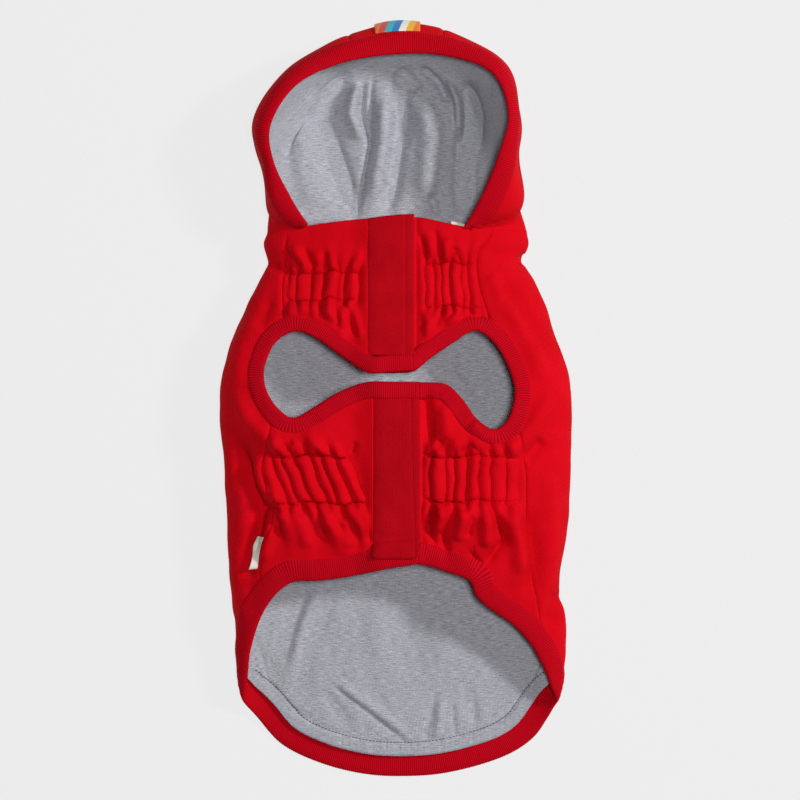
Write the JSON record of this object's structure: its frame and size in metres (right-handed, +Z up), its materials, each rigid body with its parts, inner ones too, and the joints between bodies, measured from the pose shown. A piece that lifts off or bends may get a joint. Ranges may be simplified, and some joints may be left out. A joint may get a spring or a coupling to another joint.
{
  "type": "dog hoodie",
  "caption": "Hooded fleece coat for a small dog, lying belly up, with elasticated belly bands closed by flaps, bound leg openings, a ribbed hem and a lined hood.",
  "frame": {"origin": "on the resting plane, under the middle of the coat's bounding box", "axes": "+Y runs along the back from the hem to the hood, +Z is up from the back, which lies on the surface, to the belly, +X is to the right seen from above"},
  "size_m": [0.22, 0.4736, 0.0546],
  "materials": {
    "fleece": "brushed red polar fleece",
    "facing": "smooth red fleece facing",
    "rib": "red two by two rib knit",
    "jersey": "grey marl jersey lining",
    "hook_tape": "red hook and loop tape",
    "ribbon": "woven ribbon with coloured bars",
    "label": "woven white label tape"
  },
  "bodies": {
    "root": {"back_panel": "fleece", "body_lining": "jersey", "neck_band_left": "fleece", "neck_band_right": "fleece", "chest_band_left": "fleece", "chest_band_right": "fleece", "neck_flap": "facing", "chest_flap": "facing", "neck_fastener": "hook_tape", "chest_fastener": "hook_tape", "leg_rib_left": "rib", "leg_rib_right": "rib", "hem_rib": "rib", "hood_rib": "rib", "hood_side_left": "fleece", "hood_center": "fleece", "hood_side_right": "fleece", "hood_lining": "jersey", "hood_tab": "ribbon", "side_label": "label", "neck_label": "label"}
  },
  "joints": []
}
